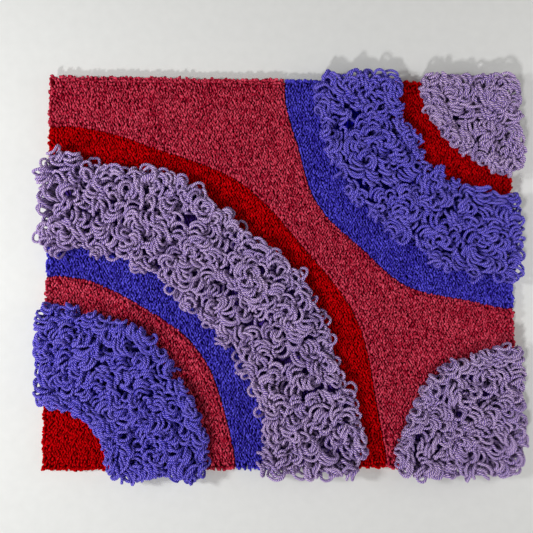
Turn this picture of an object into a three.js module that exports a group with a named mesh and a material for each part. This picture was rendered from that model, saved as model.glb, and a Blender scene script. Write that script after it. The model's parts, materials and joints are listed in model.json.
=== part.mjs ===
// A tufted textile panel: one foundation cloth with areas of sheared cut pile and taller areas of
// long loop pile. It lies face up. Millimetres, +Z up, the origin at the middle of its flat back.
import * as THREE from "three";

// The panel
const WIDTH = 500;
const HEIGHT = 416;
const CLOTH_THICKNESS = 3; // cloth, yarn backs and latex coat together
const CLOTH_CORNER_RADIUS = 4;
const CLOTH_EDGE_ROUNDING = 0.8;
const GAP = 0.3; // between touching pieces
const PILE_BASE = CLOTH_THICKNESS + GAP;

// The ground cloth and the yarns
const CLOTH = { color: 0xd9d4c8, roughness: 0.9 };
const YARNS = {
  rose: { color: 0x8c2236, roughness: 0.95 },
  red: { color: 0x9c0108, roughness: 0.95 },
  violet: { color: 0x3d2b8a, roughness: 0.95 },
  violetLoop: { color: 0x5747ab, roughness: 0.9 },
  lavenderLoop: { color: 0x8f79ad, roughness: 0.9 },
};

// Each fan of bands spreads from a corner of the panel. across and up point from it into the panel.
const FANS = {
  lowerLeft: { corner: [-WIDTH / 2, -HEIGHT / 2], across: 1, up: 1 },
  upperRight: { corner: [WIDTH / 2, HEIGHT / 2], across: -1, up: -1 },
  lowerRight: { corner: [WIDTH / 2, -HEIGHT / 2], across: -1, up: 1 },
};

// The hand-drawn line between two bands: its radius about the corner, how far it swells at the
// diagonal, and the height, number and phase in degrees of its ripples.
const line = (radius, swell, ripple, ripples, phase) => ({ radius, swell, ripple, ripples, phase });
const LINES = {
  lowerLeft: [
    line(78, 2, 1.5, 1, 0),
    line(160, 4, 3, 2, 40),
    line(200, 0, 2.5, 2, 150),
    line(240, -3, 3, 2, 260),
    line(325, 5, 4, 3, 20),
    line(360, 3, 3.5, 3, 140),
  ],
  upperRight: [
    line(88, -2, 2, 1, 90),
    line(133, 3, 2, 2, 0),
    line(208, -2, 3, 2, 200),
    line(245, 4, 3, 3, 60),
  ],
  lowerRight: [line(116, 4, 2.5, 2, 30)],
};

// How the pile stands, from the cloth up. inset is how far the level draws in from the lines of
// its area, splay how far it leans out past the panel's sides, and uneven its share of the lumps.
const LOOP_LEVELS = [
  { z: PILE_BASE, inset: 0.2, splay: -1.5, uneven: 0 },
  { z: 5.5, inset: 0.2, splay: 6, uneven: 0 },
  { z: 11.8, inset: 0.2, splay: 12, uneven: 0 },
  { z: 13.4, inset: -7, splay: 13, uneven: 0 },
  { z: 17, inset: -8, splay: 12, uneven: 0.2 },
  { z: 20, inset: -4, splay: 7, uneven: 0.5 },
  { z: 22.2, inset: 4, splay: -3, uneven: 0.9 },
  { z: 23.6, inset: 15, splay: -14, uneven: 1 },
  { z: 24, inset: 26, splay: -25, uneven: 1 },
];
const cutLevels = (top) => [
  { z: PILE_BASE, inset: 0.2, splay: -1.5, uneven: 0 },
  { z: top - 3, inset: 0.2, splay: 2.2, uneven: 0 },
  { z: top - 1, inset: 1, splay: 2.5, uneven: 0 },
  { z: top, inset: 3.2, splay: -1, uneven: 0 },
];
const CUT_TOP = { red: 10, violet: 10.6, rose: 11.2 };

// The bands of each fan, from its corner out.
const loops = (name, yarn) => ({ name, yarn, levels: LOOP_LEVELS });
const cut = (name, yarn) => ({ name, yarn, levels: cutLevels(CUT_TOP[yarn]) });
const BANDS = {
  lowerLeft: [
    cut("lower_left_red_cut_corner", "red"),
    loops("lower_left_violet_loops", "violetLoop"),
    cut("lower_left_rose_cut", "rose"),
    cut("lower_left_violet_cut", "violet"),
    loops("lower_left_lavender_loops", "lavenderLoop"),
    cut("lower_left_red_cut_rim", "red"),
  ],
  upperRight: [
    loops("upper_right_lavender_loops", "lavenderLoop"),
    cut("upper_right_red_cut", "red"),
    loops("upper_right_violet_loops", "violetLoop"),
    cut("upper_right_violet_cut", "violet"),
  ],
  lowerRight: [loops("lower_right_lavender_loops", "lavenderLoop")],
};
const GROUND = cut("rose_cut_ground", "rose");

// A line is drawn in this many straight steps, the same for the areas on both its sides.
const STEPS = 30;

// How the crowns of the loop pile rise and fall, in millimetres: a lump for each row.
const LUMPS = [
  { across: 47, along: 31, height: 0.8, phase: 0 },
  { across: -29, along: 53, height: 0.7, phase: 1.3 },
  { across: 19, along: 23, height: 0.5, phase: 2.1 },
];
const lumpiness = (x, y) =>
  LUMPS.reduce((sum, l) => sum + l.height * Math.sin(x / l.across + y / l.along + l.phase), 0);

// A point on a line of a fan, at an angle about its corner.
function onLine(fan, drawn, angle, inset) {
  const share = THREE.MathUtils.clamp(angle / (Math.PI / 2), 0, 1);
  const wave = Math.sin(2 * Math.PI * drawn.ripples * share + THREE.MathUtils.degToRad(drawn.phase));
  const radius = drawn.radius + drawn.swell * Math.sin(Math.PI * share) + drawn.ripple * wave + inset;
  return new THREE.Vector2(
    fan.corner[0] + fan.across * radius * Math.cos(angle),
    fan.corner[1] + fan.up * radius * Math.sin(angle),
  );
}

// A line of a fan from the one side of the panel to the other, run out past both by splay.
function wholeLine(fan, drawn, inset, splay) {
  const past = Math.asin(splay / (drawn.radius + inset));
  return Array.from({ length: STEPS + 1 }, (_, i) =>
    onLine(fan, drawn, -past + ((Math.PI / 2 + 2 * past) * i) / STEPS, inset),
  );
}

function bandOutline(fanName, index) {
  const fan = FANS[fanName];
  const [inner, outer] = [LINES[fanName][index - 1], LINES[fanName][index]];
  return ({ inset, splay }) => {
    const far = wholeLine(fan, outer, -inset, splay);
    const corner = new THREE.Vector2(
      fan.corner[0] - fan.across * splay,
      fan.corner[1] - fan.up * splay,
    );
    const near = inner ? wholeLine(fan, inner, inset, splay).reverse() : [corner];
    return [...far, ...near];
  };
}

// The ground fills what the three fans leave, and runs into the panel's upper left corner.
function groundOutline(level) {
  const rim = (fanName) =>
    wholeLine(FANS[fanName], LINES[fanName].at(-1), level.inset, level.splay);
  return [
    ...rim("lowerRight"),
    ...rim("upperRight").reverse(),
    new THREE.Vector2(-WIDTH / 2 - level.splay, HEIGHT / 2 + level.splay),
    ...rim("lowerLeft").reverse(),
  ];
}

// A closed solid through one outline for each level, with the same number of points in each.
function loft(outline, levels) {
  const rings = levels.map((level) => {
    const ring = outline(level);
    return THREE.ShapeUtils.isClockWise(ring) ? ring.reverse() : ring;
  });
  const count = rings[0].length;
  const vertices = rings.flatMap((ring, k) =>
    ring.flatMap((p) => [p.x, p.y, levels[k].z + levels[k].uneven * lumpiness(p.x, p.y)]),
  );
  const at = (level, i) => level * count + (i % count);
  const faces = [];
  for (let k = 0; k + 1 < levels.length; k++)
    for (let i = 0; i < count; i++) {
      faces.push(at(k, i), at(k, i + 1), at(k + 1, i + 1));
      faces.push(at(k, i), at(k + 1, i + 1), at(k + 1, i));
    }
  const last = levels.length - 1;
  for (const [a, b, c] of THREE.ShapeUtils.triangulateShape(rings[0], [])) faces.push(c, b, a);
  for (const [a, b, c] of THREE.ShapeUtils.triangulateShape(rings[last], []))
    faces.push(at(last, a), at(last, b), at(last, c));
  const geometry = new THREE.BufferGeometry();
  geometry.setAttribute("position", new THREE.Float32BufferAttribute(vertices, 3));
  geometry.setIndex(faces);
  geometry.computeVertexNormals();
  return geometry;
}

function pileArea(area, outline) {
  const material = new THREE.MeshStandardMaterial({ ...YARNS[area.yarn], metalness: 0 });
  const mesh = new THREE.Mesh(loft(outline, area.levels), material);
  mesh.name = area.name;
  return mesh;
}

function foundationCloth() {
  const [x, y] = [WIDTH / 2 - CLOTH_EDGE_ROUNDING, HEIGHT / 2 - CLOTH_EDGE_ROUNDING];
  const r = CLOTH_CORNER_RADIUS;
  const cloth = new THREE.Shape();
  cloth.moveTo(-x + r, -y);
  cloth.lineTo(x - r, -y);
  cloth.absarc(x - r, -y + r, r, -Math.PI / 2, 0);
  cloth.lineTo(x, y - r);
  cloth.absarc(x - r, y - r, r, 0, Math.PI / 2);
  cloth.lineTo(-x + r, y);
  cloth.absarc(-x + r, y - r, r, Math.PI / 2, Math.PI);
  cloth.lineTo(-x, -y + r);
  cloth.absarc(-x + r, -y + r, r, Math.PI, 1.5 * Math.PI);
  const geometry = new THREE.ExtrudeGeometry(cloth, {
    depth: CLOTH_THICKNESS - 2 * CLOTH_EDGE_ROUNDING,
    bevelThickness: CLOTH_EDGE_ROUNDING,
    bevelSize: CLOTH_EDGE_ROUNDING,
    bevelSegments: 2,
    curveSegments: 4,
  });
  const material = new THREE.MeshStandardMaterial({ ...CLOTH, metalness: 0 });
  const mesh = new THREE.Mesh(geometry, material);
  mesh.name = "foundation_cloth";
  mesh.position.z = CLOTH_EDGE_ROUNDING;
  return mesh;
}

const panel = new THREE.Group();
panel.add(foundationCloth());
for (const [fanName, bands] of Object.entries(BANDS))
  bands.forEach((band, index) =>
    panel.add(pileArea(band, bandOutline(fanName, index))),
  );
panel.add(pileArea(GROUND, groundOutline));

export default panel;
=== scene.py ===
"""A tufted panel of thick plied yarn: low sheared cut pile, and taller loop pile that leans and curls.

Lengths are millimetres while a piece is worked out, and metres once it is a mesh.
"""

import json
import math

import bpy
import numpy as np
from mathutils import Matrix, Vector
from mathutils.geometry import tessellate_polygon


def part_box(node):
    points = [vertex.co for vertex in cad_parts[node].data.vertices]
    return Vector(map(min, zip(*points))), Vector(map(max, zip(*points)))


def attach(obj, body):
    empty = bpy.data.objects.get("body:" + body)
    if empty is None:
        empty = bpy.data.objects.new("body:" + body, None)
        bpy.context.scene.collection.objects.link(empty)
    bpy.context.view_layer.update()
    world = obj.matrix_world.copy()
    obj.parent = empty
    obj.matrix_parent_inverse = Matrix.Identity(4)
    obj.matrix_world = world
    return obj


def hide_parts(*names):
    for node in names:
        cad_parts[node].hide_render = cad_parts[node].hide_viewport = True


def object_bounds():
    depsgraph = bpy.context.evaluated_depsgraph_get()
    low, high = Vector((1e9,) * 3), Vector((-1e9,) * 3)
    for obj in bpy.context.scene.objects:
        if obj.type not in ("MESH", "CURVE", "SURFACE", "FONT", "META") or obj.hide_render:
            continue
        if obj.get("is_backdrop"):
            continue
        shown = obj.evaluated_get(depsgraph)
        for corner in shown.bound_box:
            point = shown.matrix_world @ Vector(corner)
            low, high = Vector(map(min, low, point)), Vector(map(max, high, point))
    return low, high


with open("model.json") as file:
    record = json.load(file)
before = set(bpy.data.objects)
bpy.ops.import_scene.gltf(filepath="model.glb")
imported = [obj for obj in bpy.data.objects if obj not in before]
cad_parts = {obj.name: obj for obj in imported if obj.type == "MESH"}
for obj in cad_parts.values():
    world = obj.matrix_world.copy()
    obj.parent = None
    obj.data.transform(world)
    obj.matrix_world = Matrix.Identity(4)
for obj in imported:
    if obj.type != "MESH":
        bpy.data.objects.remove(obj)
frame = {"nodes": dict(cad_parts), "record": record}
cad_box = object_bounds()

MM = 0.001
TINY = 1e-9  # keeps a division from failing
SEED = 7

# The ground cloth
CLOTH_TOP = 3.0
CORNER_RADIUS = 4.0
HEM_DEPTH = 32.0  # how far the cloth is folded in at the back
HEM_STEP = 0.8  # how far the folded hem stands proud of the back
HEM_WANDER, HEM_FRAY = 0.66, 0.15  # how far the hem's cut edge wanders, and how ragged it is
RIPPLES_OVER = (18, 60)  # along it, from one ripple to the next
HEM_REACH = 2.0  # rings of the cloth this near to the hem's cut edge follow it
EDGE_STEP = 8.0  # along the cloth's edge from one point to the next

# The yarn, plied loosely
YARN_RADIUS = 1.52
PLIES = 3  # one fewer than in worsted yarn, so that they show
PLY_RISE = 2.2  # along the yarn from one ply to the next

# The cut pile
TUFT_SPACING = 2.9
TUFT_RADIUS = 1.6
TUFT_SIDES = 5
TUFT_SIZES = (0.85, 1.12)  # shares of that radius
TUFT_LEAN = 0.4  # how far tufts mostly lean, any way
OVAL = (1.15, 1.65)  # a cut end is this many times longer than if it were round, and narrower
OVAL_TURN = 0.4  # how far cut ends turn from upright, in radians
ANY_TURN = 6.3  # where round its oval a tuft's corners start, in radians
TIP_SLOPE = 0.3  # how steeply the shears leave a cut end
RAGGED_TIP = 1.2  # how far its corners stray up or down, times how ragged TUFT_LEVELS say it is
SHEAR_UNEVEN = 0.35  # how much the sheared tips differ in height
BORDER_ROW = 1.2  # the row of tufts along a border stands this far inside it
BORDER_PITCH = 0.9 * TUFT_SPACING  # from one tuft of that row to the next
BORDER_LEAN, BORDER_REACH = 0.5, 1.6  # how far tufts lean in from a border, and how near to it
CARVED = [(0.0, 2.6), (1.3, 1.3), (2.4, 0.5), (4.5, 0.0)]  # (away from a border, cut down by)
CUT_BED = 3.2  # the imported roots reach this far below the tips
EDGE_ROW = 2.8  # the outermost tufts stand this far inside the panel's edges, and splay past them
EDGE_PITCH = 2.2  # from one of them to the next
EDGE_SPLAY = (2.7, 4.3)  # how far they lean out
EDGE_STRAY = 0.5  # and how far any other way
EDGE_DROP = (0.2, 2.2)  # how much lower their tips are
EDGE_SLOPE = 0.35  # how steeply their cut ends face outward
EDGE_LIT = 0.75  # the share of the shade on their sides that light takes away
TURNED_OVER = 0.3  # tufts this much like them, or more, lie along the edge
EDGE_REACH, SPLAY_REACH = 2.6, 5.0  # how far in behind them tufts are like them, and splay too

# The loop pile
LOOP_HEIGHT = 26.5  # from a loop's roots to its head, along its bend
LEG_APART = 3.6  # between the middles of a loop's two legs
HEAD_WIDTH = (7.0, 19.0)  # across the middle of the yarn
TRESS_SPACING = 16.7  # loops stand in short rows that fall one way, and this far apart
TRESS_LOOPS = (3, 5)
TRESS_SHAPE = (1.2, 0.84)  # shares of that spacing, from a tress to the next ahead or beside it
TRESS_ROW = 4.0  # the outermost tresses start this far inside their area
TRESS_PITCH, TRESS_EDGE_PITCH = 0.8 * TRESS_SPACING, 0.7 * TRESS_SPACING  # between those tresses
SPILL = 1.0  # how far the middles of tresses may lie out over a border
LOOP_STEP = 4.2  # from a loop's head to the next in its tress
TRESS_HEIGHTS = (0.92, 1.05)  # shares of LOOP_HEIGHT, as are those of the fringe and the gaps
ASTRAY_SHARE, ASTRAY_BY = 0.16, 3.0  # of a tress's loops, those that stray more, and by how much
DRIFTS_OVER = (30, 80)  # along the panel, from where loops fall one way to where they fall another
SWELLS_OVER = (22, 45)  # and from where they are tall to where they are lower
FALL = 9.0  # how far a loop's head falls to the side
FALL_LIMITS = (1.5, 15.0)
FRINGE_ROW = 2.2  # a row of single loops stands this far inside an area, along borders and edges
FRINGE_PITCH, FRINGE_EDGE_PITCH = 7.5, 4.6  # between those loops
FRINGE_EDGE = 5.0  # those this near to the panel's edge hang over it
FRINGE_FALL, FRINGE_EDGE_FALL = (2.5, 6.5), (5, 10)
FRINGE_HEIGHTS = (0.6, 0.85)
LOOSE_SHARE = 0.32  # of them, those that flop right out over the cut pile or the edge
LOOSE_FALL, LOOSE_EDGE_LESS = (6.0, 9.0), 3.0  # how much farther these fall, and less at the edge
LOOSE_LENGTH = 1.3  # and how many times longer they are
BARE = 4.3  # a single low loop fills each place this far from what other loops cover
GAP_FALL, GAP_HEIGHTS = (1.5, 5.0), (0.66, 0.84)
TAIL_SHARE = 0.016  # of the strands, those that are cut ends and not loops
LOOP_SIZES = (0.93, 1.07)  # shares of the yarn's radius
LOOP_BED = 8.0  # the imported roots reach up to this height
LOOP_DARK = 13.0  # loops are shaded from the cloth up to this far above it
PAST_EDGE = 16.5  # how far loops lean out past the panel's edges at most
LOOP_JOINTS = 25  # points along a loop's yarn while it settles
LOOP_SIDES = 6
LOOP_RINGS = [  # where along its yarn a loop's skin has a ring, closer round its head
    0.0, 0.14, 0.25, 0.32, 0.37, 0.41, 0.446, 0.482,
    0.518, 0.554, 0.59, 0.63, 0.68, 0.75, 0.86, 1.0,
]

# Each yarn's colours: painted shade deep between its plies and tufts; its colour on its sides, darkened
# in the loop yarns as painted shade in the ply grooves; and a painted highlight where fibres catch
# light
YARNS = {
    "rose_cut_pile": ("#48000a", "#b61334", "#f85c76"),
    "red_cut_pile": ("#620000", "#c40005", "#de0612"),
    "violet_cut_pile": ("#120746", "#382cb4", "#6c64f4"),
    "violet_loop_pile": ("#0a0662", "#180cba", "#a494ff"),
    "lavender_loop_pile": ("#2a0e40", "#5e3cae", "#faddff"),
}

SLOT_OF = {part["node"]: part["material_slot"] for part in frame["record"]["subparts"]}
CUT_AREAS = [node for node, slot in SLOT_OF.items() if "cut_pile" in slot]
LOOP_AREAS = [node for node, slot in SLOT_OF.items() if "loop_pile" in slot]
HALF_PANEL = np.array(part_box("foundation_cloth")[1])[:2] / MM


def lengths(vectors):
    return np.linalg.norm(vectors, axis=-1, keepdims=True)


def unit(vectors):
    return vectors / np.maximum(lengths(vectors), TINY)


def facing(heading):
    """The way ahead at each heading."""
    return np.stack([np.cos(heading), np.sin(heading)], -1)


def left_of(ahead):
    return np.stack([-ahead[..., 1], ahead[..., 0]], -1)


def along_lines(lines):
    """How far along its line each point is, and how long each step to the next is."""
    step = np.linalg.norm(np.diff(lines, axis=1), axis=2)
    return np.insert(np.cumsum(step, 1), 0, 0, axis=1), step


def placed(name, data):
    """A new object in the scene."""
    thing = bpy.data.objects.new(name, data)
    bpy.context.scene.collection.objects.link(thing)
    return thing


def swirl(rng, shortest, longest, waves=16):
    """A smooth random field over the panel, mostly between -1 and 1, with features of those lengths."""
    heading = rng.uniform(0, 2 * math.pi, waves)
    turns = 2 * math.pi / rng.uniform(shortest, longest, waves)
    directions = turns * np.stack([np.cos(heading), np.sin(heading)])
    phase = rng.uniform(0, 2 * math.pi, waves)
    return lambda xy: np.sin(xy @ directions + phase).sum(1) / math.sqrt(waves)


# --- The areas of pile, as the frame has them ---

ON_CLOTH = 0.05  # a pile area's lowest points are no further apart in height than this
NEAR_EDGE = 2.5  # a border that runs this near to the panel's edge is part of the edge
AT_ONCE = 2000  # this many distances to an outline are worked out at once, to spare memory


def outline_of(node):
    """The closed line round a pile area where it meets the cloth, as points in order."""
    mesh = frame["nodes"][node].data
    co = np.empty(len(mesh.vertices) * 3)
    mesh.vertices.foreach_get("co", co)
    co = co.reshape(-1, 3) / MM
    mesh.calc_loop_triangles()
    faces = np.empty(len(mesh.loop_triangles) * 3, int)
    mesh.loop_triangles.foreach_get("vertices", faces)
    faces = faces.reshape(-1, 3)
    on_cloth = co[:, 2] < co[:, 2].min() + ON_CLOTH
    beside = {}
    for face in faces[on_cloth[faces].sum(1) == 2]:
        a, b = (tuple(p) for p in co[face[on_cloth[face]], :2].round(3))
        beside.setdefault(a, []).append(b)
        beside.setdefault(b, []).append(a)
    line = [min(beside)]
    while len(line) < len(beside):
        line.append(next(p for p in beside[line[-1]] if p not in line[-2:]))
    line = np.array(line)
    x, y = line.T
    anticlockwise = (x * np.roll(y, -1) - y * np.roll(x, -1)).sum() > 0
    return line if anticlockwise else line[::-1]


def sides_of(outline):
    """Where each side of an outline starts, and the way along it to the next point."""
    return outline, np.roll(outline, -1, 0) - outline


def is_inside(xy, outline):
    """Whether each point is inside the outline, by how often a line from it crosses the outline."""
    start, along = sides_of(outline)
    x, y = xy[:, :1], xy[:, 1:]
    spans = (start[:, 1] > y) != (start[:, 1] + along[:, 1] > y)
    slope = along[:, 0] / np.where(along[:, 1] == 0, TINY, along[:, 1])
    return (spans & (x < start[:, 0] + (y - start[:, 1]) * slope)).sum(1) % 2 == 1


def to_line(xy, outline):
    """The distance from each point to the outline, and the direction there."""
    start, along = sides_of(outline)
    length2 = np.maximum((along**2).sum(1), TINY)
    ways = []
    for some in np.array_split(xy, max(1, len(xy) // AT_ONCE)):
        offset = some[:, None] - start
        share = ((offset * along).sum(2) / length2).clip(0, 1)
        gap = share[..., None] * along - offset
        ways.append(gap[np.arange(len(some)), (gap**2).sum(2).argmin(1)])
    ways = np.concatenate(ways)
    return np.linalg.norm(ways, axis=1), unit(ways)


def inset_line(outline, inset):
    """The outline drawn in by inset, point for point."""
    inward = left_of(unit(sides_of(outline)[1]))
    before = np.roll(inward, 1, 0)
    return outline + inset * (inward + before) / (1 + (inward * before).sum(1, keepdims=True))


def panel_edge(xy):
    """How far each point is inside the panel's edge, and the way out over that edge."""
    inside = HALF_PANEL - np.abs(xy)
    over_side = (inside[:, 0] < inside[:, 1])[:, None]
    return inside.min(1), np.where(over_side, [1.0, 0.0], [0.0, 1.0]) * np.sign(xy)


OUTLINES = {node: outline_of(node) for node in CUT_AREAS + LOOP_AREAS}


def top_of(node):
    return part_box(node)[1][2] / MM


def sheared_top(node, xy):
    """The height of an area's cut pile, carved along its borders but not along the panel's edge."""
    to_border = to_line(xy, OUTLINES[node])[0]
    at_edge = panel_edge(xy)[0] < to_border + NEAR_EDGE
    away, down = zip(*CARVED)
    return top_of(node) - np.interp(np.where(at_edge, away[-1], to_border), away, down)


# --- Evenly spread places ---

PLANTING_ROUNDS = 12  # rounds in which neighbours push each other apart
PLANTING_PUSH = 0.25  # the share of what they lack that each moves in a round
# Shares of the spacing: how uneven places start, how far they stay from the row along the outline
# and how far apart they want to be
UNEVEN_START, BEHIND_ROW, WANTED_APART = 0.12, 0.62, 0.93
ROW_UNEVEN = (0.35, 0.65)  # how far along its own stretch of a row each place is
ROW_CLEAR = 0.8  # the share of a row's inset that its places keep from the rest of the outline


def close_pairs(points, reach):
    """Index pairs of the points that are nearer to each other than reach."""
    cell = np.floor(points / reach).astype(np.int64)
    cell -= cell.min(0) - 1
    size = cell.max(0) + 2
    steps = np.append(np.cumprod(size[:0:-1])[::-1], 1)
    key = cell @ steps
    order = np.argsort(key, kind="stable")
    key = key[order]
    shifts = np.stack(np.meshgrid(*[[-1, 0, 1]] * len(steps), indexing="ij"), -1)
    found = []
    for shift in shifts.reshape(-1, len(steps)) @ steps:
        if shift < 0:
            continue
        first = np.searchsorted(key, key + shift) if shift else np.arange(len(key)) + 1
        count = np.searchsorted(key, key + shift, "right") - first
        rank = np.arange(count.sum()) - np.repeat(np.cumsum(count) - count, count)
        pair = np.repeat(np.arange(len(key)), count), np.repeat(first, count) + rank
        found.append(order[np.stack(pair)])
    a, b = np.concatenate(found, 1)
    near = ((points[a] - points[b]) ** 2).sum(1) < reach**2
    return a[near], b[near]


def add_up(index, values, count):
    """For each of count places, the sum of the rows of values whose index names it."""
    return np.stack([np.bincount(index, column, count) for column in values.T], 1)


def row_along(outline, inset, pitch, edge_pitch, rng):
    """Places in a row inside an outline, closer together where it runs along the panel's edge."""
    row = []
    for start, along in zip(*sides_of(inset_line(outline, inset))):
        at_edge = panel_edge((start + along / 2)[None])[0][0] < inset + NEAR_EDGE
        count = max(1, round(np.linalg.norm(along) / (edge_pitch if at_edge else pitch)))
        share = (np.arange(count) + rng.uniform(*ROW_UNEVEN, count)) / count
        row.append(start + along * share[:, None])
    row = np.concatenate(row)
    row = row[is_inside(row, outline)]
    return row[to_line(row, outline)[0] > ROW_CLEAR * inset]


def planted(outline, spacing, row, rng):
    """Places inside an outline: those in its row, which stay, and others evenly apart inside it."""
    low, high = outline.min(0), outline.max(0)
    across, up = np.meshgrid(
        np.arange(low[0], high[0], spacing),
        np.arange(low[1], high[1], spacing * math.sqrt(3) / 2),
        indexing="ij",
    )
    across = across + spacing / 2 * (np.arange(up.shape[1]) % 2)
    field = np.stack([across, up], -1).reshape(-1, 2)
    field += rng.normal(0, UNEVEN_START * spacing, field.shape)
    field = field[is_inside(field, outline)]
    to_border = to_line(field, outline)[0]
    field = field[to_border > to_line(row, outline)[0].mean() + BEHIND_ROW * spacing]

    places = np.concatenate([row, field])
    for _ in range(PLANTING_ROUNDS):
        a, b = close_pairs(places, spacing)
        apart = places[a] - places[b]
        short = WANTED_APART * spacing - np.linalg.norm(apart, axis=1)
        push = unit(apart) * (PLANTING_PUSH * short.clip(0))[:, None]
        move = add_up(a, push, len(places)) - add_up(b, push, len(places))
        places[len(row) :] += move[len(row) :]
    return places[is_inside(places, outline)]


# --- Skins ---

BED_EDGE = 4.5  # a bed keeps this far inside the panel's edges, behind the outermost strands
BED_INSET = 0.8  # and this far inside its area
BED_SUNK, ROOT_SUNK = 0.1, 0.2  # how deep in the cloth beds and tufts start
BED_LINE = 0.86  # in the map for baking, strands lie below this line and their bed above it


class Skin:
    """Gathers strands, and the bed they stand in, into one mesh with what its materials read.

    lay: how far round the strand, and how far along it in millimetres.
    OFBake: a place of its own for every face.
    tone: one random number for each strand. depth: from 0 at the tips to 1 at the roots, for the
    painted shade.
    """

    def __init__(self):
        self.points, self.tone, self.depth = [], [], []
        self.corners, self.sizes, self.slots, self.lay, self.cells = [], [], [], [], []
        self.count = 0

    def add(self, points, tone, depth, faces, slot):
        """faces is a list of (corners, lay, cells), each with a row for a face."""
        for corners, lay, cells in faces:
            self.corners.append((corners + self.count).ravel())
            self.sizes.append(np.full(len(corners), corners.shape[1]))
            self.slots.append(np.full(len(corners), slot))
            for kept, given in ((self.lay, lay), (self.cells, cells)):
                kept.append(np.broadcast_to(given, (*corners.shape, 2)).reshape(-1, 2))
        self.points.append(points)
        self.tone.append(tone)
        self.depth.append(depth)
        self.count += len(points)

    def add_strands(self, rings, along, tone, depth):
        """Closed tubes: rings[strand, ring, side] are points, and along, in millimetres, and depth
        have a value for each ring of each strand."""
        n, k, sides, _ = rings.shape
        vertex = np.arange(n * k * sides).reshape(n, k, sides)
        columns = math.ceil(math.sqrt(n))
        home = np.stack([np.arange(n) % columns, np.arange(n) // columns], -1)

        def cells(across, up):
            """Each strand's own cell of the map for baking, with a margin round it."""
            spot = np.stack(np.broadcast_arrays(0.06 + 0.88 * across, 0.03 + 0.94 * up), -1)
            return (spot + home.reshape(n, *[1] * (spot.ndim - 1), 2)) / columns * [1, BED_LINE]

        # The walls fill the middle of a cell, from 0.1 to 0.9, and the two ends lie below and above.
        ring, side = np.meshgrid(np.arange(k - 1), np.arange(sides), indexing="ij")
        ring = np.stack([ring, ring, ring + 1, ring + 1], -1)
        side = np.stack([side, side + 1, side + 1, side], -1)
        lay = np.stack(np.broadcast_arrays(side / sides, along[:, ring]), -1)
        walls = vertex[:, ring, side % sides], lay, cells(side / sides, 0.1 + 0.8 * ring / (k - 1))
        faces = [[walls[0].reshape(-1, 4), *(part.reshape(-1, 4, 2) for part in walls[1:])]]
        turn = 2 * math.pi * np.arange(sides) / sides
        for end, order, height in ((0, -1, 0.05), (k - 1, 1, 0.95)):
            lay = np.stack(np.broadcast_arrays(np.arange(sides) / sides, along[:, end, None]), -1)
            spot = cells(0.5 + 0.4 * np.cos(turn), height + 0.04 * np.sin(turn))
            faces.append([part[:, ::order] for part in (vertex[:, end], lay, spot)])
        tone = np.repeat(tone, k * sides)
        self.add(rings.reshape(-1, 3), tone, np.repeat(depth.ravel(), sides), faces, 0)

    def add_bed(self, outline, top):
        """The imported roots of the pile: a low closed slab inside the outline."""
        line = inset_line(outline, BED_INSET).clip(BED_EDGE - HALF_PANEL, HALF_PANEL - BED_EDGE)
        n = len(line)
        heights = CLOTH_TOP - BED_SUNK, top
        points = np.concatenate([np.insert(line, 2, z, axis=1) for z in heights])
        order = np.arange(n)
        after = np.roll(order, -1)
        walls = np.stack([order, after, after + n, order + n], -1)
        lid = np.array(tessellate_polygon([[Vector((*p, 0)) for p in line]]))
        a, b, c = line[lid].transpose(1, 0, 2)
        faces_down = np.cross(b - a, c - a) < 0
        lid[faces_down] = lid[faces_down][:, ::-1]
        under = lid[:, ::-1]

        # In the map for baking, its rim is a strip, and its top and underside lie side by side.
        flat = (line - line.min(0)) / np.ptp(line, axis=0)
        above = [0.02, BED_LINE + 0.03] + flat * [0.46, 0.95 - BED_LINE]
        share = np.stack([order, after, after, order], -1) / n
        rim = np.stack(np.broadcast_arrays(share, BED_LINE + np.array([4, 4, 20, 20]) / 1000), -1)
        faces = [
            (walls, [0, 0], rim),
            (lid + n, line[lid], above[lid]),
            (under, line[under], above[under] + [0.5, 0]),
        ]
        self.add(points, np.full(2 * n, 0.5), np.ones(2 * n), faces, 1)

    def made(self, name, materials):
        mesh = bpy.data.meshes.new(name)
        corners, sizes = np.concatenate(self.corners), np.concatenate(self.sizes)
        mesh.vertices.add(self.count)
        mesh.vertices.foreach_set("co", (np.concatenate(self.points) * MM).ravel())
        mesh.loops.add(len(corners))
        mesh.loops.foreach_set("vertex_index", corners)
        mesh.polygons.add(len(sizes))
        mesh.polygons.foreach_set("loop_start", np.cumsum(sizes) - sizes)
        mesh.polygons.foreach_set("material_index", np.concatenate(self.slots))
        mesh.polygons.foreach_set("use_smooth", np.concatenate(self.slots) == 0)
        for map_name, places in (("lay", self.lay), ("OFBake", self.cells)):
            layer = mesh.uv_layers.new(name=map_name, do_init=False)
            layer.uv.foreach_set("vector", np.concatenate(places).ravel())
        for kind, numbers in (("tone", self.tone), ("depth", self.depth)):
            attribute = mesh.attributes.new(kind, "FLOAT", "POINT")
            attribute.data.foreach_set("value", np.concatenate(numbers).astype(np.float32))
        mesh.update()
        mesh.validate()
        for material in materials:
            mesh.materials.append(material)
        return placed(name, mesh)


# --- Cut pile ---

TUFT_LEVELS = [  # (share of the way up, below the tip, share of the radius, ragged, depth)
    (0.0, None, 0.85, 0.0, 1.0),
    (0.85, 1.1, 1.08, 0.12, 0.45),
    (1.0, 0.0, 0.78, 0.2, 0.0),
]


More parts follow.
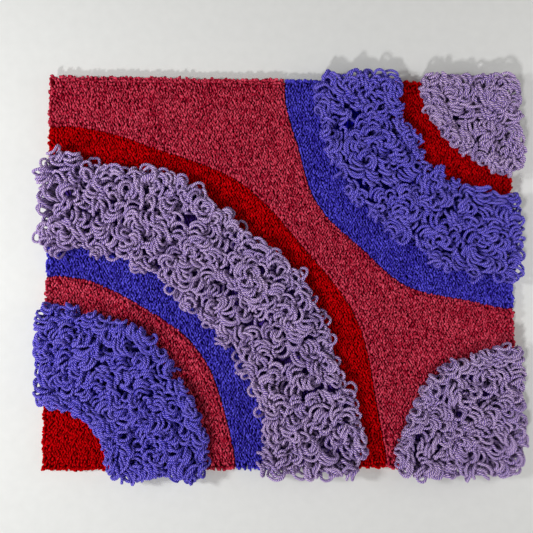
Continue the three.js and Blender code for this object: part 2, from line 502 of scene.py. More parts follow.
def cut_tufts(node, rng):
    """The rings of an area's tufts, from the cloth to their sheared tips, their tones and depths."""
    row = row_along(OUTLINES[node], BORDER_ROW, BORDER_PITCH, EDGE_PITCH, rng)
    foot = planted(OUTLINES[node], TUFT_SPACING, row, rng)
    n = len(foot)
    to_border, outward = to_line(foot, OUTLINES[node])
    lean = rng.normal(0, TUFT_LEAN, (n, 2))
    lean -= outward * (BORDER_LEAN * np.exp(-to_border / BORDER_REACH))[:, None]
    inside = (HALF_PANEL - np.abs(foot) - EDGE_ROW).clip(0)
    over = np.exp(-((inside / EDGE_REACH) ** 2)) * np.sign(foot)
    splay = np.exp(-((inside / SPLAY_REACH) ** 2)) * np.sign(foot)
    at_edge = np.abs(over).max(1)
    splay = splay * rng.uniform(*EDGE_SPLAY, (n, 1))
    lean += splay + rng.normal(0, EDGE_STRAY, (n, 2)) * at_edge[:, None]
    tip_z = sheared_top(node, foot) + rng.normal(0, SHEAR_UNEVEN, n)
    tip_z -= at_edge * rng.uniform(*EDGE_DROP, n)

    # A cut end is a ragged oval. Most of them lie up and down the panel, or along its edges.
    radius = TUFT_RADIUS * rng.uniform(*TUFT_SIZES, n)
    longer = rng.uniform(*OVAL, n)
    turn = rng.normal(math.pi / 2, OVAL_TURN, n)
    turn -= math.pi / 2 * ((at_edge > TURNED_OVER) & (np.abs(over[:, 1]) > np.abs(over[:, 0])))
    across = facing(turn)
    angle = 2 * math.pi * np.arange(TUFT_SIDES) / TUFT_SIDES + rng.uniform(0, ANY_TURN, (n, 1))
    oval = across[:, None] * (longer[:, None] * np.cos(angle))[..., None]
    oval = oval + left_of(across)[:, None] * (np.sin(angle) / longer[:, None])[..., None]
    oval *= radius[:, None, None]
    slope = rng.normal(0, TIP_SLOPE, (n, 2)) + EDGE_SLOPE * over

    rings, depth = [], []
    for rise, below, width, ragged, deep in TUFT_LEVELS:
        place = foot + lean * rise
        z = np.full(n, CLOTH_TOP - ROOT_SUNK) if below is None else tip_z - below
        wide = width + ragged * rng.uniform(-1, 1, (n, TUFT_SIDES))
        ring = np.insert(place[:, None] + wide[..., None] * oval, 2, z[:, None], axis=2)
        ring[..., 2] += ragged * rng.uniform(-RAGGED_TIP, RAGGED_TIP, (n, TUFT_SIDES))
        if below is not None:
            ring[..., 2] -= (oval * slope[:, None]).sum(2)
        rings.append(ring)
        depth.append(deep * (1 - EDGE_LIT * at_edge))
    return np.stack(rings, 1), rng.random(n), np.stack(depth, 1)


def cut_area(node, rng):
    rings, tone, depth = cut_tufts(node, rng)
    skin = Skin()
    skin.add_strands(rings, along_lines(rings.mean(2))[0], tone, depth)
    skin.add_bed(OUTLINES[node], top_of(node) - CUT_BED)
    return skin


# --- Loop pile ---

TURNED_BACK = 12.0  # loops this near to a border no longer fall away from it
DRAWN_OUT = 7.0  # loops this near to a border or an edge fall out over it
EDGE_PULL = 1.2  # how much more an edge draws them than the swirls do
SPREAD_ROUNDS, SPREAD_PUSH = 40, 0.2  # in which tresses push each other apart, and how strongly

# How loops differ. The first three are in radians: by tress, and by loop.
HEADING_DIFFERS, ROLL_DIFFERS, TWIST_DIFFERS = (0.13, 0.1), (0.22, 0.13), (0.22, 0.15)
STRAY_ALONG, STRAY_ASIDE = 0.5, 0.8  # how far heads stray along their tress, and to the side
DRIFTS, DRIFT_PULL = (0.3, 1.8), 0.35  # how strong drifts are, and the share of a fall they change
NESTED, FALL_DIFFERS = 1.1, 0.8  # how much farther each loop falls than the one behind it
SWELL, SWELLS = 0.12, (-1.5, 0.4)  # how much the swirls change a loop's height, and their limits
TRESS_WIDE = (0.42, 0.22, 0.1, 0.17)  # in a tress, and how much swirls, rank and chance change it
FRINGE_WIDE, LOOSE_WIDE, GAP_WIDE = (0, 0.5), (0.2, 0.5), (0, 0.35)  # shares of the widest head
FRINGE_TURN, GAP_TURN = 0.3, 0.25  # in radians, as heading, roll and twist
BEHIND, ASIDE_BEHIND, ASIDE = 4, 1.5, 0.35  # how far a loop covers the bed; the last by its width

# How a loop bends, in degrees from upright
ROOT_LEAN = 12  # at most, at its roots
HEAD_LEANS = np.arange(5, 150, 5)  # how much more it may lean at its head
HEAD_ERROR = 5  # how much that differs between loops that fall as far
LEAN_GROWS = 2.4  # the lean grows with this power of the share of the way up
SWERVE = 0.12  # how far a loop turns on the way up, in radians
SPINE_JOINTS, LEG_POINTS, HEAD_POINTS = 41, 30, 33
OPENS_AT = 0.3  # the share of its legs' length from which a loop opens
ROOT_LINE = 1.9  # feet stand at least this far inside their area

# How strands settle
SETTLE_STEPS = 70
SINK = 0.06  # how far strands sink at each step
LOOK_EVERY, LOOK_AROUND = 5, 1.2  # steps between looks for neighbours, and how far beyond touching
YARN_GIVES = 0.97  # yarns may lie this share of their thickness apart
NEXT_JOINTS = 2  # so near along its own strand a joint isn't pushed away
MEAN_PUSH = 1.4  # a joint with several neighbours goes this share of their mean push
BENDS, BEND_KEPT = (2, 4), 0.95  # over so many joints a strand keeps this share of its reach
BEND_BACK, EDGE_BACK = 0.2, 0.3  # the share of what is wrong that each step sets right
CELL = 2.0  # of the grids for bare places and for what strands lie on
SKIRT = 30.0  # how far past the panel strands are looked after
FLOOR_LEVEL, PILE_GIVES = 0.3, 0.4  # how far strands stay over the floor, and sink into cut pile
HEADROOM = 1.0  # how far over the areas' tops the middle of a yarn may be


def through(points, shares):
    """Points at those shares of the way along smooth curves through rows of points."""
    k = points.shape[1]
    at = np.asarray(shares) * (k - 1)
    i = np.minimum(at.astype(int), k - 2)
    f = (at - i)[None, :, None]
    p0, p1 = points[:, np.maximum(i - 1, 0)], points[:, i]
    p2, p3 = points[:, i + 1], points[:, np.minimum(i + 2, k - 1)]
    bend = (2 * p0 - 5 * p1 + 4 * p2 - p3) * f**2 + (3 * p1 - p0 - 3 * p2 + p3) * f**3
    return 0.5 * (2 * p1 + (p2 - p0) * f + bend)


def evenly(points, count):
    """Rows of points spaced evenly by length along the same curves."""
    length, step = along_lines(points)
    wanted = length[:, -1:] * np.linspace(0, 1, count)
    index = np.stack([np.searchsorted(l, w, "right") - 1 for l, w in zip(length, wanted)])
    index = index.clip(0, points.shape[1] - 2)
    row = np.arange(len(points))[:, None]
    share = (wanted - length[row, index]) / np.maximum(step[row, index], TINY)
    return points[row, index] * (1 - share[..., None]) + points[row, index + 1] * share[..., None]


def drifting(xy, fields, outline):
    """The way the loops at each place fall: with their neighbours, and out over borders and edges."""
    to_border, outward = to_line(xy, outline)
    drift = np.stack([fields["across"](xy), fields["up"](xy)], -1)
    inward = (drift * outward).sum(1).clip(None, 0) * np.exp(-((to_border / TURNED_BACK) ** 2))
    drift += outward * (np.exp(-to_border / DRAWN_OUT) - inward)[:, None]
    inside = (HALF_PANEL - np.abs(xy)).clip(0)
    return drift + EDGE_PULL * np.exp(-inside / DRAWN_OUT) * np.sign(xy)


def spread(places, fields, outline):
    """Places for the middles of tresses, once they have made room for each other."""
    for _ in range(SPREAD_ROUNDS):
        ahead = drifting(places, fields, outline)
        a, b = close_pairs(places, TRESS_SPACING * max(TRESS_SHAPE))
        against = (ahead[a] * ahead[b]).sum(1, keepdims=True) < 0
        along = unit(ahead[a] + np.where(against, -1, 1) * ahead[b])
        beside = left_of(along)
        gap = places[a] - places[b]
        x = (gap * along).sum(1) / TRESS_SHAPE[0]
        y = (gap * beside).sum(1) / TRESS_SHAPE[1]
        near = np.hypot(x, y)
        push = SPREAD_PUSH * (TRESS_SPACING - near).clip(0) / np.maximum(near, 1.0)
        move = along * (push * x * TRESS_SHAPE[0])[:, None]
        move += beside * (push * y * TRESS_SHAPE[1])[:, None]
        places = places + add_up(a, move, len(places)) - add_up(b, move, len(places))
        to_border, way = to_line(places, outline)
        out = np.where(is_inside(places, outline), 0, to_border - SPILL).clip(0)
        places += way * out[:, None]
    return places


def in_tresses(outline, fields, rng):
    """Loops in short rows whose heads fall over one way and nest behind each other: each loop's
    head, heading, fall, height, share of the widest head, roll and twist."""
    row = row_along(outline, TRESS_ROW, TRESS_PITCH, TRESS_EDGE_PITCH, rng)
    middle = spread(planted(outline, TRESS_SPACING, row, rng), fields, outline)
    drift = drifting(middle, fields, outline)
    count = rng.integers(TRESS_LOOPS[0], TRESS_LOOPS[1] + 1, len(middle))
    tress = np.repeat(np.arange(len(middle)), count)
    n = len(tress)
    rank = np.arange(n) - (np.cumsum(count) - count)[tress] - (count[tress] - 1) / 2
    astray = np.where(rng.random(n) < ASTRAY_SHARE, ASTRAY_BY, 1.0)

    def differing(by_tress, by_loop, along_tress=1.0):
        """What the loops of a tress share, and what each has of its own."""
        shared = rng.normal(0, by_tress, len(middle))[tress] * along_tress
        return shared + rng.normal(0, by_loop, n) * astray

    heading = np.arctan2(drift[:, 1], drift[:, 0])[tress]
    heading += differing(*HEADING_DIFFERS, rank)
    ahead = facing(heading)
    head = middle[tress] + ahead * (LOOP_STEP * rank + rng.normal(0, STRAY_ALONG, n))[:, None]
    head += left_of(ahead) * (rng.normal(0, STRAY_ASIDE, n) * astray)[:, None]

    # Where the drift is strong, loops fall further. A tress's first loops lie over its last ones.
    strength = np.linalg.norm(drift, axis=1).clip(*DRIFTS)[tress]
    fall = FALL * (1 - DRIFT_PULL + DRIFT_PULL * strength) + NESTED * rank
    fall += rng.normal(0, FALL_DIFFERS, n)
    swell = SWELL * fields["height"](middle)[tress].clip(*SWELLS)
    height = LOOP_HEIGHT * (rng.uniform(*TRESS_HEIGHTS, n) + swell)
    wide, by_swirl, by_rank, by_chance = TRESS_WIDE
    wide = wide + by_swirl * fields["width"](middle)[tress] + by_rank * rank
    wide += rng.normal(0, by_chance, n)
    roll = differing(*ROLL_DIFFERS)
    twist = differing(*TWIST_DIFFERS)
    return np.column_stack([head, heading, fall, height, wide, roll, twist])


def in_fringe(outline, rng):
    """Single shorter loops along an outline, which hang out over it and hide the roots behind.
    Some of them are longer and flop right out."""
    foot = row_along(outline, FRINGE_ROW, FRINGE_PITCH, FRINGE_EDGE_PITCH, rng)
    n = len(foot)
    outward = to_line(foot, outline)[1]
    heading = np.arctan2(outward[:, 1], outward[:, 0]) + rng.normal(0, FRINGE_TURN, n)
    at_edge = panel_edge(foot)[0] < FRINGE_EDGE
    fall = np.where(at_edge, rng.uniform(*FRINGE_EDGE_FALL, n), rng.uniform(*FRINGE_FALL, n))
    height = LOOP_HEIGHT * rng.uniform(*FRINGE_HEIGHTS, n)
    loose = rng.random(n) < LOOSE_SHARE
    fall[loose] += (rng.uniform(*LOOSE_FALL, n) - LOOSE_EDGE_LESS * at_edge)[loose]
    height[loose] *= LOOSE_LENGTH
    head = foot + fall[:, None] * facing(heading)
    wide = np.where(loose, rng.uniform(*LOOSE_WIDE, n), rng.uniform(*FRINGE_WIDE, n))
    roll, twist = rng.normal(0, FRINGE_TURN, (2, n))
    return np.column_stack([head, heading, fall, height, wide, roll, twist])


def in_gaps(outline, loops, rng):
    """Single low loops that fill the places which the heads of the others leave bare."""
    head, ahead = loops[:, :2], facing(loops[:, 2])

    # A loop covers the place of its head, one behind it, and one behind it at each side.
    aside = ASIDE * np.interp(loops[:, 5], [0, 1], HEAD_WIDTH)[:, None] * left_of(ahead)
    back = ASIDE_BEHIND * ahead
    cover = [head, head - BEHIND * ahead, head + aside - back, head - aside - back]
    low, high = outline.min(0), outline.max(0)
    axes = [np.arange(low[i], high[i], CELL) for i in (0, 1)]
    free = np.stack(np.meshgrid(*axes, indexing="ij"), -1).reshape(-1, 2)
    free = free[is_inside(free, outline)]
    free = free[to_line(free, outline)[0] > TRESS_ROW]
    gap = np.full(len(free), np.inf)
    for near in np.concatenate(cover):
        gap = np.minimum(gap, np.hypot(*(free - near).T))
    places = []
    while gap.max() > BARE:
        near = free[gap.argmax()]
        places.append(near)
        gap = np.minimum(gap, np.hypot(*(free - near).T))
    n = len(places)
    heading = rng.uniform(-math.pi, math.pi, n)
    fall = rng.uniform(*GAP_FALL, n)
    height = LOOP_HEIGHT * rng.uniform(*GAP_HEIGHTS, n)
    wide = rng.uniform(*GAP_WIDE, n)
    roll, twist = rng.normal(0, GAP_TURN, (2, n))
    return np.column_stack([np.array(places).reshape(n, 2), heading, fall, height, wide, roll, twist])


def spines(foot, heading, fall, height, rng):
    """The line up the middle of each loop, its direction there, and the level way across it.
    A loop leans more and more towards its head, so far that the head comes to where it fell."""
    n = len(foot)
    swerve = rng.normal(0, SWERVE, n)
    steps = np.linspace(0, 1, SPINE_JOINTS)
    grown = steps**LEAN_GROWS
    start = np.radians(rng.uniform(0, ROOT_LEAN, n))
    ends = np.radians(HEAD_LEANS)
    reach = np.sin(math.radians(ROOT_LEAN / 2) + ends[:, None] * grown).mean(1)
    end = np.interp(fall / height, np.maximum.accumulate(reach), ends)
    end += np.radians(rng.normal(0, HEAD_ERROR, n))
    tilt = start[:, None] + end[:, None] * grown
    turn = heading[:, None] + swerve[:, None] * steps
    ahead = np.stack([np.cos(turn), np.sin(turn), np.zeros_like(turn)], -1)
    level = np.stack([-np.sin(turn), np.cos(turn), np.zeros_like(turn)], -1)
    tangent = ahead * np.sin(tilt)[..., None] + [0, 0, 1] * np.cos(tilt)[..., None]
    spine = np.cumsum(tangent, 1) * (height[:, None, None] / SPINE_JOINTS)
    spine += np.insert(foot, 2, CLOTH_TOP, axis=1)[:, None]
    return spine, tangent, level


def opened(height, wide):
    """The shape of each loop laid flat: how far up its spine its points are, and how far out."""
    head = np.interp(wide, [0, 1], HEAD_WIDTH)[:, None] / 2
    neck = 1 - head / height[:, None]
    leg = np.linspace(0, 1, LEG_POINTS)
    opening = ((leg - OPENS_AT) / (1 - OPENS_AT)).clip(0, 1)
    opening = opening**2 * (3 - 2 * opening)
    leg_up, leg_out = neck * leg, LEG_APART / 2 + (head - LEG_APART / 2) * opening
    bow = np.linspace(0, math.pi, HEAD_POINTS)[1:-1]
    bow_up, bow_out = neck + (1 - neck) * np.sin(bow), head * np.cos(bow)
    up = np.concatenate([leg_up, bow_up, leg_up[:, ::-1]], 1)
    return up, np.concatenate([leg_out, bow_out, -leg_out[:, ::-1]], 1)


def laid_loops(node, fields, rng):
    """An area's loops as the needle leaves them: their joints, and which of them are cut tails."""
    outline = OUTLINES[node]
    loops = np.concatenate([in_tresses(outline, fields, rng), in_fringe(outline, rng)])
    loops = np.concatenate([loops, in_gaps(outline, loops, rng)])
    n = len(loops)
    heading, fall, height, wide, roll, twist = loops[:, 2:].T
    fall = fall.clip(*FALL_LIMITS)
    foot = loops[:, :2] - fall[:, None] * facing(heading)
    spine, tangent, level = spines(foot, heading, fall, height, rng)
    rolled = roll[:, None] + twist[:, None] * np.linspace(0, 1, SPINE_JOINTS)
    rolled = rolled[..., None]
    side = level * np.cos(rolled) + np.cross(tangent, level) * np.sin(rolled)

    up, out = opened(height, wide)
    row = np.arange(n)[:, None]
    last = SPINE_JOINTS - 1
    near = np.rint(up * last).astype(int)
    rest = (up * last - near) * height[:, None] / SPINE_JOINTS
    path = spine[row, near] + tangent[row, near] * rest[..., None]
    path = path + side[row, near] * out[..., None]

    # The lower a point is, the more it goes back with its loop's foot to within the area.
    to_border, way = to_line(foot, outline)
    inside = is_inside(foot, outline)
    back = np.where(inside, (to_border - ROOT_LINE).clip(None, 0), to_border + ROOT_LINE)
    path[..., :2] += (way * back[:, None])[:, None] * ((1 - up) ** 1.5)[..., None]
    tail = rng.random(n) < TAIL_SHARE
    path[tail] = spine[tail][:, np.linspace(0, last, path.shape[1]).astype(int)]
    return evenly(path, LOOP_JOINTS), tail


def ground_levels():
    """A look-up of how high a strand's middle must stay over the sheared pile, cloth and floor."""
    reach = HALF_PANEL + SKIRT
    axes = [np.arange(-r, r + CELL, CELL) for r in reach]
    grid = np.stack(np.meshgrid(*axes, indexing="ij"), -1)
    xy = grid.reshape(-1, 2)
    level = np.full(len(xy), FLOOR_LEVEL)
    for node in LOOP_AREAS:
        level[is_inside(xy, OUTLINES[node])] = CLOTH_TOP
    for node in CUT_AREAS:
        here = is_inside(xy, OUTLINES[node])
        level[here] = sheared_top(node, xy[here]) - PILE_GIVES
    level = level.reshape(grid.shape[:2]) + YARN_RADIUS

    def under(points):
        at = np.rint((points + reach) / CELL).astype(int).clip(0, np.array(level.shape) - 1)
        return level[at[:, 0], at[:, 1]]

    return under


def settled(strands, tail, ceiling):
    """The strands after they have pushed each other apart and sunk: hardly a yarn inside another,
    none stretched or kinked, and all of them over the pile and cloth that they lean on."""
    n, k, _ = strands.shape
    strands = strands.copy()
    flat = strands.reshape(-1, 3)
    under = ground_levels()
    length = lengths(np.diff(strands, axis=1))
    reaches = {s: BEND_KEPT * lengths(strands[:, s:] - strands[:, :-s]) for s in BENDS}
    rooted = np.zeros((n, k), bool)
    rooted[:, 0] = True
    rooted[~tail, -1] = True
    rooted = rooted.ravel()
    root_level = flat[rooted, 2]
    owner, joint = np.repeat(np.arange(n), k), np.tile(np.arange(k), n)
    thick = 2 * YARN_RADIUS * YARN_GIVES
    limit = HALF_PANEL + PAST_EDGE - YARN_RADIUS
    for step in range(SETTLE_STEPS):
        if step % LOOK_EVERY == 0:
            a, b = close_pairs(flat, thick + LOOK_AROUND)
            apart = (owner[a] != owner[b]) | (np.abs(joint[a] - joint[b]) > NEXT_JOINTS)
            a, b = a[apart], b[apart]
        flat[:, 2] -= SINK
        way = flat[a] - flat[b]
        short = (thick - np.linalg.norm(way, axis=1)).clip(0)
        push = unit(way) * (0.5 * short)[:, None]
        touching = np.bincount(a, short > 0, len(flat)) + np.bincount(b, short > 0, len(flat))
        move = add_up(a, push, len(flat)) - add_up(b, push, len(flat))
        flat += move * (MEAN_PUSH / np.maximum(touching, MEAN_PUSH))[:, None]
        for first in (0, 1, 0, 1):  # every joint keeps its distance from the next
            i = np.arange(first, k - 1, 2)
            way = strands[:, i + 1] - strands[:, i]
            gap = lengths(way)
            fix = 0.5 * way / np.maximum(gap, TINY) * (gap - length[:, i])
            strands[:, i] += fix
            strands[:, i + 1] -= fix
        for span, wanted in reaches.items():  # and bends stay as wide as the yarn likes them
            way = strands[:, span:] - strands[:, :-span]
            gap = lengths(way)
            fix = BEND_BACK * way / np.maximum(gap, TINY) * (wanted - gap).clip(0)
            strands[:, span:] += fix
            strands[:, :-span] -= fix
        over = flat[:, :2] - flat[:, :2].clip(-limit, limit)
        flat[:, :2] -= EDGE_BACK * over
        low = (under(flat[:, :2]) - flat[:, 2]).clip(0)
        high = (flat[:, 2] - ceiling).clip(0)
        flat[:, 2] += 0.5 * low - 0.5 * high
        flat[rooted, 2] = root_level
    return strands


def yarn_rings(strands, radius):
    """Rings of points round the middle of each strand, turned as little as the strand allows."""
    tangent = unit(np.gradient(strands, axis=1))
    across = unit(np.cross(tangent[:, 0], [0.3, 0.9, 0.1]))
    angle = 2 * math.pi * np.arange(LOOP_SIDES) / LOOP_SIDES
    rings = []
    for j in range(strands.shape[1]):
        across = unit(across - tangent[:, j] * (across * tangent[:, j]).sum(1, keepdims=True))
        up = np.cross(tangent[:, j], across)
        round_it = across[:, None] * np.cos(angle)[:, None] + up[:, None] * np.sin(angle)[:, None]
        rings.append(strands[:, j, None] + round_it * radius[:, None])
    return np.stack(rings, 1)


def loop_areas(rng):
    """The skins of all loop areas. Their loops settle together, so that neighbours share the room."""
    fields = {name: swirl(rng, *DRIFTS_OVER) for name in ("across", "up", "width")}
    fields["height"] = swirl(rng, *SWELLS_OVER)
    laid = {node: laid_loops(node, fields, rng) for node in LOOP_AREAS}
    strands, tail = (np.concatenate(part) for part in zip(*laid.values()))
    strands = settled(strands, tail, max(top_of(node) for node in LOOP_AREAS) + HEADROOM)
    skins, first = {}, 0
    for node, (own, _) in laid.items():
        lines = through(strands[first : first + len(own)], LOOP_RINGS)
        first += len(own)
        radius = YARN_RADIUS * rng.uniform(*LOOP_SIZES, (len(own), 1))
        # Painted shade: loops darker the nearer they come to the cloth.
        depth = 1 - ((lines[..., 2] - CLOTH_TOP) / LOOP_DARK).clip(0, 1)
        skin = Skin()
        along = along_lines(lines)[0]
        skin.add_strands(yarn_rings(lines, radius), along, rng.random(len(own)), depth)
        skin.add_bed(OUTLINES[node], LOOP_BED)
        skins[node] = skin
    return skins


# --- Ground cloth ---

CLOTH_FACE = CLOTH_TOP - 0.05  # just under the pile
CLOTH_RINGS = [  # (drawn in from the edge, height)
    (190, HEM_STEP), (130, HEM_STEP), (80, HEM_STEP), (HEM_DEPTH + 1.2, HEM_STEP),
    (HEM_DEPTH, 0.1), (HEM_DEPTH - 1, 0.0), (16, 0.0), (1.2, 0.0), (0.35, 0.35), (0.0, 1.0),
    (0.0, 2.0), (0.4, 2.65), (1.2, CLOTH_FACE), (40, CLOTH_FACE), (110, CLOTH_FACE), (190, CLOTH_FACE),
]


def cloth_outline():
    """Points along the cloth's edge, a rectangle with rounded corners, anticlockwise."""
    corner = np.linspace(0, math.pi / 2, 5)
    line = []
    for quarter, (x, y) in enumerate([(1, -1), (1, 1), (-1, 1), (-1, -1)]):
        centre = np.array([x, y]) * (HALF_PANEL - CORNER_RADIUS)
        line.append(centre + CORNER_RADIUS * facing(corner + (quarter - 1) * math.pi / 2))
    line = np.concatenate(line)
    fine = []
    for a, b in zip(line, np.roll(line, -1, 0)):
        count = max(1, round(np.linalg.norm(b - a) / EDGE_STEP))
        fine.append(a + (b - a) * (np.arange(count) / count)[:, None])
    return np.concatenate(fine)


def ground_cloth(rng):
    """Monk's cloth with its edges folded to the back: rings of points from the middle of the back,
    over the hem and the edge, to the middle of the top."""
    line = cloth_outline()
    n = len(line)
    ripple = swirl(rng, *RIPPLES_OVER)(line)
    points = []
    for inset, z in CLOTH_RINGS:
        ring = line * (1 - inset / HALF_PANEL)
        if abs(inset - HEM_DEPTH) < HEM_REACH:
            ring += unit(line) * (HEM_WANDER * ripple + rng.normal(0, HEM_FRAY, n))[:, None]
        points.append(np.insert(ring, 2, z, axis=1))
    points = np.concatenate(points)
    order = np.arange(n)
    after = np.roll(order, -1)
    bands = len(CLOTH_RINGS) - 1
    faces = [np.stack([order, after, after + n, order + n], -1) + n * k for k in range(bands)]
    mesh = bpy.data.meshes.new("foundation_cloth_sheet")
    middles = [order[::-1].tolist(), (order + n * bands).tolist()]
    mesh.from_pydata((points * MM).tolist(), [], np.concatenate(faces).tolist() + middles)
    for polygon in mesh.polygons:
        polygon.use_smooth = len(polygon.vertices) == 4
    mesh.materials.append(monks_cloth())
    return placed("foundation_cloth_sheet", mesh)


# --- Materials ---

# Scales are how many of a thing lie along a metre.
UNRULY = 150.0  # stretches of yarn 7 mm long, over which its twist drifts
CLUMPS = 1000.0  # clumps of fibre 1 mm across; real fibres are 0.02 mm and wouldn't show
BRUSHES = 690.0  # brushes of fibre ends 1.4 mm wide, drawn coarse for the same reason
BRUSH_SHAPE = (1.0, 0.36, 1.0)  # nearly three times as long as they are wide, up the panel
PATCHES = 55.0  # patches 18 mm across, where the pile leans a little another way, painted lighter and darker as that lean would catch the light
WINDINGS = 92.0  # gives bands 3.4 mm apart, as loops of this yarn that lie side by side
TUFT_ROOTS = 330.0  # roots 3 mm apart, as the tufts are
TOOTH = 90.0  # of the painted surface, 11 mm apart
WEAVE_PITCH = 2.1  # in millimetres, from one pair of threads in monk's cloth to the next

IOR = 1.5  # acrylic, cotton and paint
MIRRORED = 0.02  # fibres scatter nearly all of the light that a smooth face would mirror
SHEEN_ROUGHNESS = 0.45


def colour(code):
    """An sRGB hex code as a linear colour."""
    channels = [int(code[i : i + 2], 16) / 255 for i in (1, 3, 5)]
    linear = [c / 12.92 if c <= 0.04045 else ((c + 0.055) / 1.055) ** 2.4 for c in channels]
    return (*linear, 1.0)


def material(name):
    """A new material, a function that adds nodes to it, and one that finishes it."""
    made = bpy.data.materials.new(name)
    made.use_nodes = True
    tree = made.node_tree
    tree.nodes.clear()

    def add(kind, inputs=(), out=0, **settings):
        """Adds a node with its settings, and with values or links on its inputs. Gives one output."""
        node = tree.nodes.new("ShaderNode" + kind)
        for setting, value in settings.items():
            setattr(node, setting, value)
        for socket, value in inputs.items() if isinstance(inputs, dict) else enumerate(inputs):
            if isinstance(value, bpy.types.NodeSocket):
                tree.links.new(value, node.inputs[socket])
            else:
                node.inputs[socket].default_value = value
        return node.outputs[out] if node.outputs else None

    def finish(linked, roughness, sheen, bloom):
        """Adds the shader: matt, with a sheen of loose fibre ends."""
        plain = {
            "Roughness": roughness, "IOR": IOR, "Specular IOR Level": MIRRORED,
            "Sheen Weight": sheen, "Sheen Roughness": SHEEN_ROUGHNESS, "Sheen Tint": bloom,
        }
        shader = add("BsdfPrincipled", linked | plain)
        add("OutputMaterial", {"Surface": shader})
        return made

    return add, finish


def plied_yarn(slot):
    """Worsted-weight acrylic yarn, plied and twisted: matt and soft. The eye sees slanting stripes,
    where each ply bulges and where it dips behind the next, made by bumps and by a painted highlight on
    each bulge and painted shade in each dip."""
    painted_shade, painted_groove_shade, painted_crest_highlight = (colour(code) for code in YARNS[slot])
    add, finish = material("plied_yarn_" + slot)
    place = add("TexCoord", out="Object")
    lay = add("SeparateXYZ", [add("UVMap", uv_map="lay")]).node.outputs
    tone = add("Attribute", out="Fac", attribute_name="tone")
    depth = add("Attribute", out="Fac", attribute_name="depth")
    unruly = add("TexNoise", {"Vector": place, "Scale": UNRULY, "Detail": 1.0})
    fibre = add("TexNoise", {"Vector": place, "Scale": CLUMPS, "Detail": 2.0})

    # How many plies have passed by here, round the strand and along it: each crest is one of them.
    turned = add("Math", [lay[0], PLIES], operation="MULTIPLY")
    turned = add("Math", [lay[1], 1 / PLY_RISE, turned], operation="MULTIPLY_ADD")
    turned = add("Math", [unruly, 0.7, turned], operation="MULTIPLY_ADD")
    turned = add("Math", [turned, 2 * math.pi], operation="MULTIPLY")
    wave = add("Math", [turned], operation="COSINE")
    ply = add("Math", [wave, 0.5, 0.5], operation="MULTIPLY_ADD")

    # Painted light: ply crests, fibre clumps and each strand's random tone lift the colour from the
    # painted shade in the grooves to the painted highlight on the crests.
    lit = add("Math", [ply, 1.2, -0.7], operation="MULTIPLY_ADD")
    lit = add("Math", [fibre, 1.1, lit], operation="MULTIPLY_ADD")
    lit = add("Math", [lit, -0.1], operation="ADD")
    lit = add("Math", [tone, 0.3, lit], operation="MULTIPLY_ADD")
    base = add("Mix", {0: lit, 6: painted_groove_shade, 7: painted_crest_highlight}, out=2, data_type="RGBA")
    # Painted shade, deeper towards the cloth.
    shade = add("Math", [depth, 0.7], operation="MULTIPLY")
    base = add("Mix", {0: shade, 6: base, 7: painted_shade}, out=2, data_type="RGBA")
    height = add("Math", [fibre, 0.5, ply], operation="MULTIPLY_ADD")
    bump = add("Bump", {"Height": height, "Strength": 1.0, "Distance": 0.001})
    return finish({"Base Color": base, "Normal": bump}, 0.9, 0.03, painted_crest_highlight)


def sheared_pile(slot):
    """The same yarn cut and sheared: its plies open into brushes of fibre ends, so the eye sees a
    velvet grain, with a painted highlight on the tips and painted shade between them and towards the
    roots."""
    painted_shade, middle, light = (colour(code) for code in YARNS[slot])
    add, finish = material("sheared_" + slot)
    place = add("TexCoord", out="Object")
    tone = add("Attribute", out="Fac", attribute_name="tone")
    depth = add("Attribute", out="Fac", attribute_name="depth")
    upright = add("Mapping", {"Vector": place, "Scale": BRUSH_SHAPE})
    brush = {"Vector": upright, "Scale": BRUSHES, "Detail": 4.0, "Distortion": 0.4}
    brush = add("TexNoise", brush)
    patch = add("TexNoise", {"Vector": place, "Scale": PATCHES, "Detail": 2.0})

    # Painted light: the brushes' tips, the patches and each tuft's random tone lift the colour from its
    # own towards a painted highlight.
    lit = add("Math", [brush, 2.8, -1.52], operation="MULTIPLY_ADD")
    lit = add("Math", [tone, 0.6, lit], operation="MULTIPLY_ADD")
    lit = add("Math", [lit, 0.1], operation="SUBTRACT")
    lit = add("Math", [patch, 0.5, lit], operation="MULTIPLY_ADD")
    lit = add("Clamp", [lit])
    base = add("Mix", {0: lit, 6: middle, 7: light}, out=2, data_type="RGBA")
    # Painted shade: darker between the brushes of fibre ends, and deeper towards the roots.
    painted_shade_between_brushes = add("MapRange", [brush, 0.5, 0.36])
    for deep, share in ((painted_shade_between_brushes, 0.7), (depth, 0.9)):
        shade = add("Math", [deep, share], operation="MULTIPLY")
        base = add("Mix", {0: shade, 6: base, 7: painted_shade}, out=2, data_type="RGBA")
    bump = add("Bump", {"Height": brush, "Strength": 1.0, "Distance": 0.0016})
    return finish({"Base Color": base, "Normal": bump}, 0.95, 0.02, light)


def packed_roots(slot):
    """Between the tufts and under the loops: the same yarn's roots, packed tight and hardly lit, with
    that shade painted into their colour.
    """
    painted_shade, middle, _ = (colour(code) for code in YARNS[slot])
    add, finish = material("roots_of_" + slot)
    place = add("TexCoord", out="Object")
    # Painted shade: under the loops, bands between the shade colour and the yarn's own colour stand in
    # for lower loops in shade; between the tufts, each root darker out towards its rim.
    if "loop" in slot:
        winding = {"Vector": place, "Scale": WINDINGS, "Distortion": 16.0}
        root = add("TexWave", winding | {"Detail": 1.0, "Detail Scale": 0.8}, out=1)
        base = add("Mix", {0: root, 6: painted_shade, 7: middle}, out=2, data_type="RGBA")
        bump = add("Bump", {"Height": root, "Strength": 1.0, "Distance": 0.002})
    else:
        root = add("TexVoronoi", {"Vector": place, "Scale": TUFT_ROOTS}, out="Distance")
        rim = add("Math", [root, 1.4], operation="MULTIPLY")
        base = add("Mix", {0: rim, 6: middle, 7: painted_shade}, out=2, data_type="RGBA")
        bump = add("Bump", {"Height": root, "Strength": 1.0, "Distance": -0.001})
    return finish({"Base Color": base, "Normal": bump}, 0.95, 0.0, painted_shade)


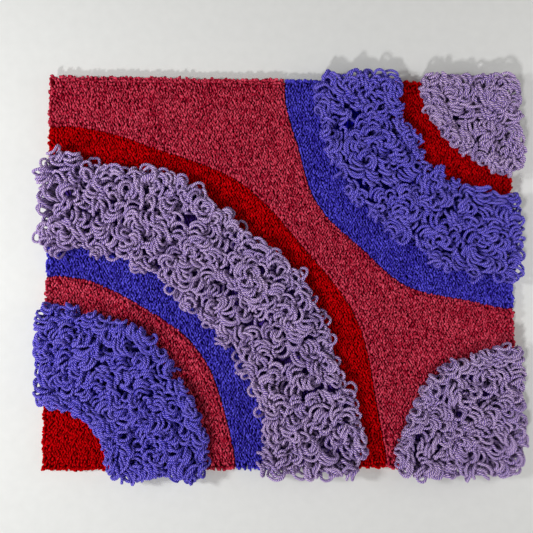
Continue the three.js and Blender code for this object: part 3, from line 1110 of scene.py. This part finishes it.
def monks_cloth():
    """Unbleached cotton monk's cloth: a plain weave of fat threads in pairs, matt."""
    between, thread = colour("#b8ac94"), colour("#e2dac8")
    add, finish = material("monks_cloth")
    place = add("SeparateXYZ", [add("TexCoord", out="Object")]).node.outputs
    waves = []
    for axis in (0, 1):  # with the height added, so that the weave runs on over the folded edge
        turn = add("Math", [place[axis], place[2]], operation="ADD")
        turn = add("Math", [turn, math.pi / (WEAVE_PITCH * MM)], operation="MULTIPLY")
        wave = add("Math", [turn], operation="SINE")
        waves.append(add("Math", [wave], operation="ABSOLUTE"))
    weave = add("Math", waves, operation="MULTIPLY")
    base = add("Mix", {0: weave, 6: between, 7: thread}, out=2, data_type="RGBA")
    bump = add("Bump", {"Height": weave, "Strength": 0.8, "Distance": 0.0006})
    return finish({"Base Color": base, "Normal": bump}, 0.9, 0.1, thread)


def matt_white_surface():
    """What the panel lies on: plain matt white, painted, with hardly any tooth."""
    add, finish = material("matt_white_surface")
    place = add("TexCoord", out="Object")
    tooth = add("TexNoise", {"Vector": place, "Scale": TOOTH, "Detail": 3.0})
    shades = {0: tooth, 6: colour("#e0e0de"), 7: colour("#e8e8e6")}
    base = add("Mix", shades, out=2, data_type="RGBA")
    return finish({"Base Color": base}, 0.85, 0.0, colour("#ffffff"))


# --- Surface, light and camera ---

MIDDLE = (0.0, 0.0, 0.0)  # of the panel; here and below in metres
WHITE = (1.0, 1.0, 1.0)


def floor():
    size, below = 6.0, -0.0002
    corners = [(x * size, y * size, below) for x, y in ((-1, -1), (1, -1), (1, 1), (-1, 1))]
    mesh = bpy.data.meshes.new("surface")
    mesh.from_pydata(corners, [], [(0, 1, 2, 3)])
    mesh.materials.append(matt_white_surface())
    placed("surface", mesh)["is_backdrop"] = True


def lamp(name, place, size, power, aim=MIDDLE, tint=WHITE):
    """A round soft lamp, size in metres and power in watts."""
    data = bpy.data.lights.new(name, "AREA")
    data.shape = "DISK"
    data.size = size
    data.energy = power
    data.color = tint
    light = placed(name, data)
    light.location = place
    light.rotation_euler = (Vector(aim) - Vector(place)).to_track_quat("-Z", "Y").to_euler()


def studio():
    """A lamp close by at the left that rakes over the pile, weak fill low at the right, a window
    far off beyond the lower left corner, which throws the loops' shadows up the panel, and soft
    light from all round."""
    lamp("lamp_at_left", (-0.75, 0.0, 0.62), size=0.15, power=4.6, tint=(0.98, 1.0, 1.0))
    lamp("fill_at_right", (0.66, 0.05, 0.33), size=0.45, power=1.0, aim=(0.24, 0.0, 0.0))
    lamp("window", (-1.75, -3.5, 3.1), size=0.5, power=105.0)
    world = bpy.data.worlds.new("studio")
    world.use_nodes = True
    background = world.node_tree.nodes["Background"]
    background.inputs["Color"].default_value = (1.0, 0.985, 0.96, 1.0)
    background.inputs["Strength"].default_value = 0.28
    bpy.context.scene.world = world
    bpy.context.scene.view_settings.view_transform = "Standard"


def camera():
    """Straight above the panel but for a few degrees."""
    data = bpy.data.cameras.new("camera")
    data.sensor_width = 36.0
    data.angle = math.radians(55.0)
    data.clip_start = 0.01
    seen = placed("camera", data)
    seen.location = (-0.0335, -0.0172, 0.5584)
    seen.rotation_euler = [math.radians(a) for a in (2.33, -1.70, 0.19)]
    bpy.context.scene.camera = seen


# --- The panel ---


def main():
    camera()
    studio()
    floor()
    rng = np.random.default_rng(SEED)
    skins = {node: cut_area(node, rng) for node in CUT_AREAS} | loop_areas(rng)
    yarns = {
        slot: [(plied_yarn if "loop" in slot else sheared_pile)(slot), packed_roots(slot)]
        for slot in YARNS
    }
    for node, skin in skins.items():
        piece = skin.made(node + "_pile", yarns[SLOT_OF[node]])
        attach(piece, "root")
        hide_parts(node)
    cloth = ground_cloth(rng)
    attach(cloth, "root")
    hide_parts("foundation_cloth")


main()

both = {"cad": cad_box, "made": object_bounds()}
{name: [list(corner) for corner in box] for name, box in both.items()}
